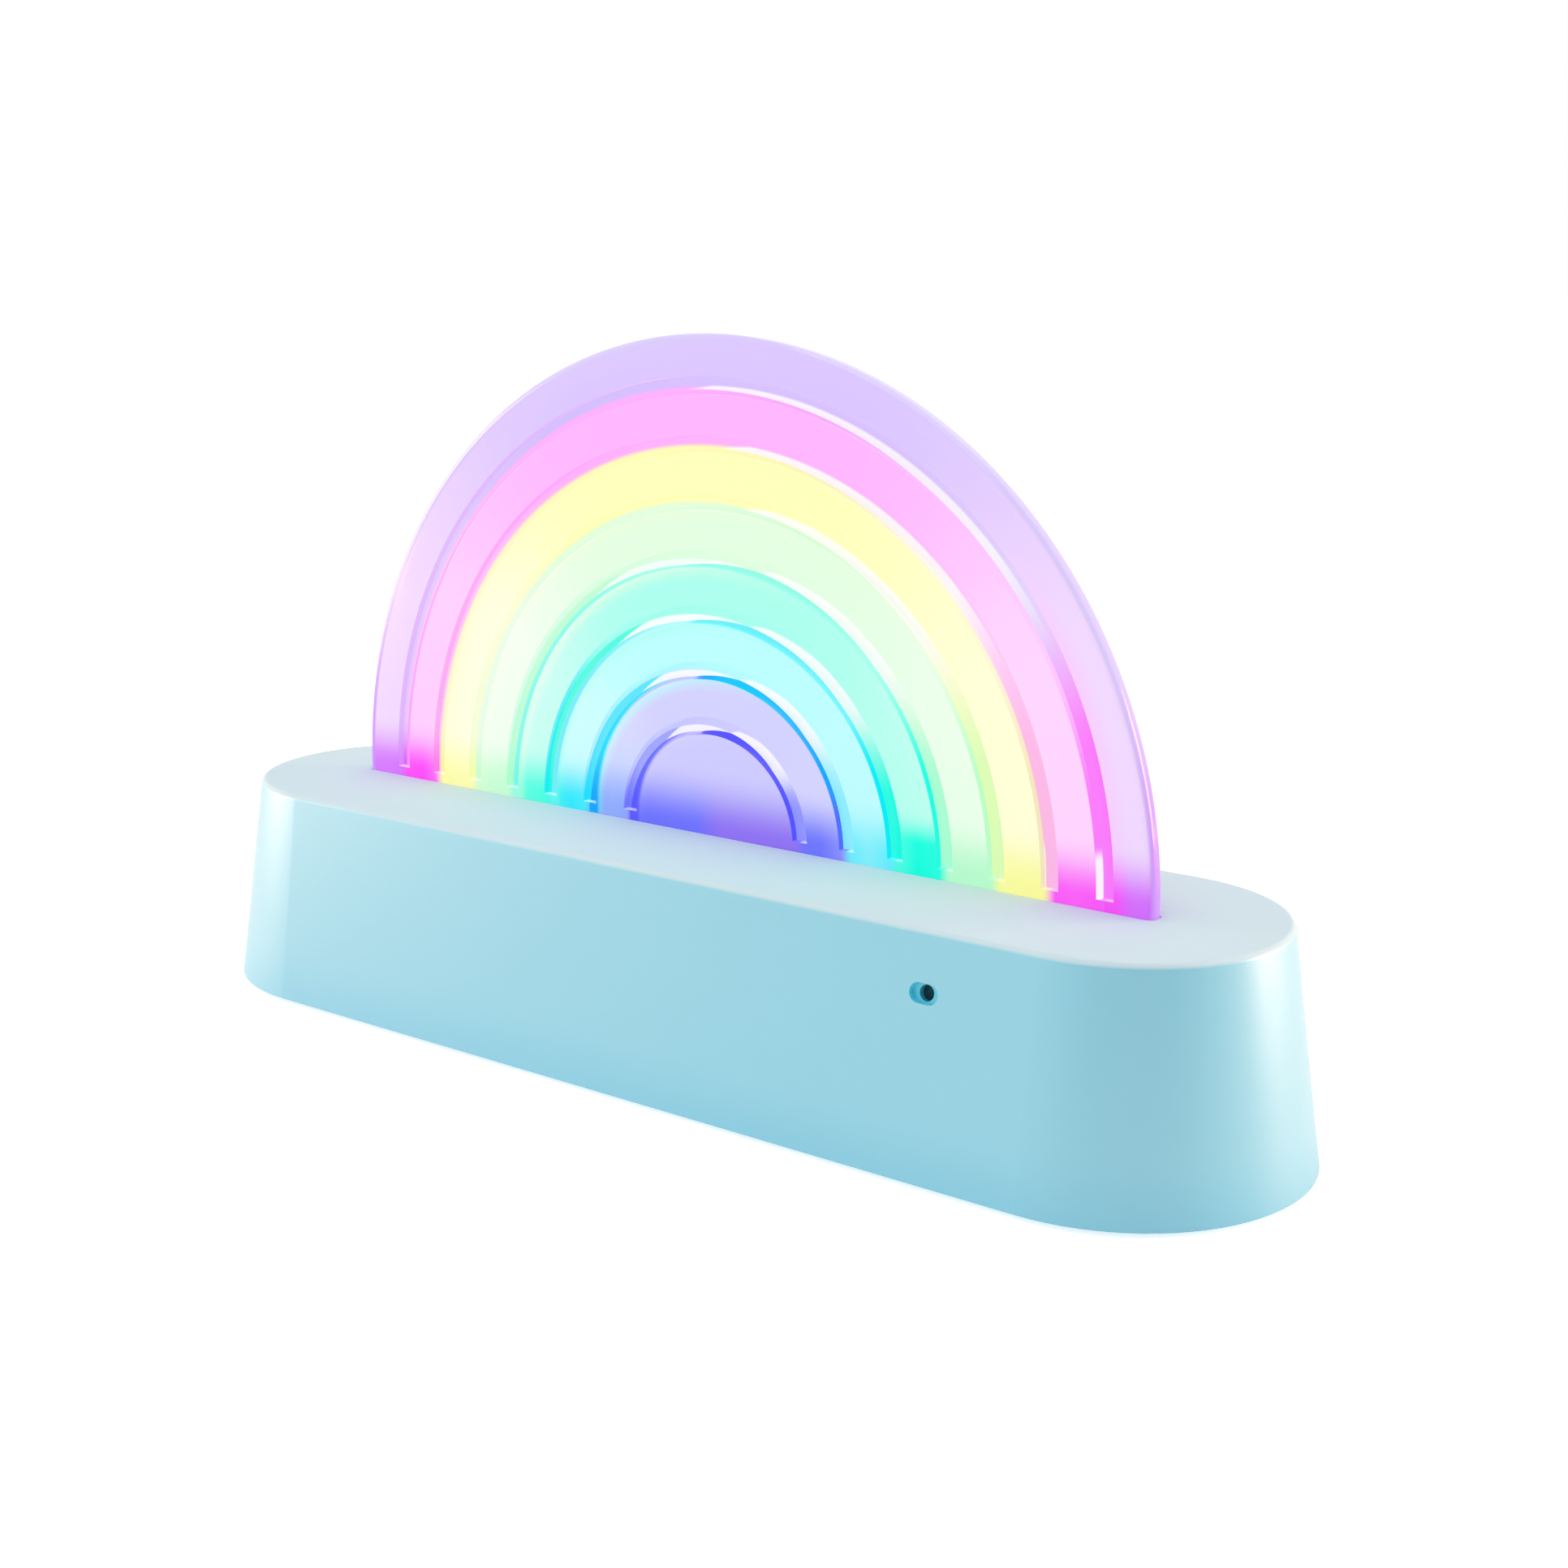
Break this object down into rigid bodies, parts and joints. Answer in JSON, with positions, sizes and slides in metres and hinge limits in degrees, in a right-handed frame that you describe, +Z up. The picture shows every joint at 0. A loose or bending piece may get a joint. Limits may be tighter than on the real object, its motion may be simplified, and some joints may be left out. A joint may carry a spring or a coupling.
{
  "type": "rainbow table lamp",
  "caption": "Edge-lit clear arch plate with concentric grooves, standing in a tapered oval base with a sound port, a rear switch and power inlet, and a battery bay underneath.",
  "frame": {"origin": "on the ground under the middle of the base, between the four rubber feet", "axes": "+X along the base to the right, +Y towards the back, +Z up; the grooved face and the sound port look towards -Y"},
  "size_m": [0.26, 0.073, 0.146],
  "materials": {
    "shell_abs": "satin moulded ABS",
    "cover_abs": "fine spark texture",
    "foot_rubber": "matt moulded silicone",
    "clear_acrylic": "polished clear acrylic, edge-lit",
    "white_abs": "reflective white ABS",
    "screw_steel": "zinc-plated steel",
    "led_board_laminate": "white solder mask on laminate",
    "led_package": "white package with a clear lens",
    "green_laminate": "green solder mask on laminate",
    "chip_epoxy": "black epoxy",
    "capacitor_sleeve": "shrunk vinyl sleeve",
    "socket_nylon": "natural nylon",
    "nickel_sheet": "nickel-plated sheet",
    "knob_abs": "satin moulded ABS",
    "tongue_black": "black liquid-crystal polymer",
    "capsule_can": "drawn aluminium can",
    "boot_rubber": "matt black rubber",
    "cell_jacket": "printed foil jacket on a steel can",
    "red_pvc": "PVC insulation",
    "black_pvc": "PVC insulation",
    "white_pvc": "PVC insulation",
    "yellow_pvc": "PVC insulation"
  },
  "bodies": {
    "lamp": {"base_shell": "shell_abs", "base_cover": "cover_abs", "cover_screws": "screw_steel", "rubber_foot_1": "foot_rubber", "rubber_foot_2": "foot_rubber", "rubber_foot_3": "foot_rubber", "rubber_foot_4": "foot_rubber", "rainbow_plate": "clear_acrylic", "light_tray": "white_abs", "light_comb": "white_abs", "tray_screws": "screw_steel", "led_board": "led_board_laminate", "led_1": "led_package", "led_2": "led_package", "led_3": "led_package", "led_4": "led_package", "led_5": "led_package", "led_6": "led_package", "led_7": "led_package", "led_8": "led_package", "led_9": "led_package", "led_10": "led_package", "led_11": "led_package", "led_12": "led_package", "led_13": "led_package", "led_14": "led_package", "led_15": "led_package", "control_board": "green_laminate", "board_screws": "screw_steel", "main_chip": "chip_epoxy", "smoothing_capacitor": "capacitor_sleeve", "chip_resistors": "chip_epoxy", "lead_sockets": "socket_nylon", "slide_switch": "nickel_sheet", "power_inlet": "nickel_sheet", "inlet_tongue": "tongue_black", "microphone": "capsule_can", "microphone_boot": "boot_rubber", "battery_1": "cell_jacket", "battery_2": "cell_jacket", "battery_3": "cell_jacket", "battery_springs": "nickel_sheet", "battery_contacts": "nickel_sheet", "battery_lead_red": "red_pvc", "battery_lead_black": "black_pvc", "led_leads": "white_pvc", "microphone_leads": "yellow_pvc"},
    "switch": {"switch_knob": "knob_abs"},
    "door": {"battery_door": "cover_abs", "door_screw": "screw_steel"}
  },
  "joints": [
    {"name": "switch_slide", "type": "slide", "parent": "lamp", "child": "switch", "axis": [1, 0, 0], "range_m": [-0.002, 0.002]},
    {"name": "door_hinge", "type": "hinge", "parent": "lamp", "child": "door", "pos_m": [-0.0294, 0, 0.0021], "axis": [0, 1, 0], "range_deg": [0, 75]}
  ]
}
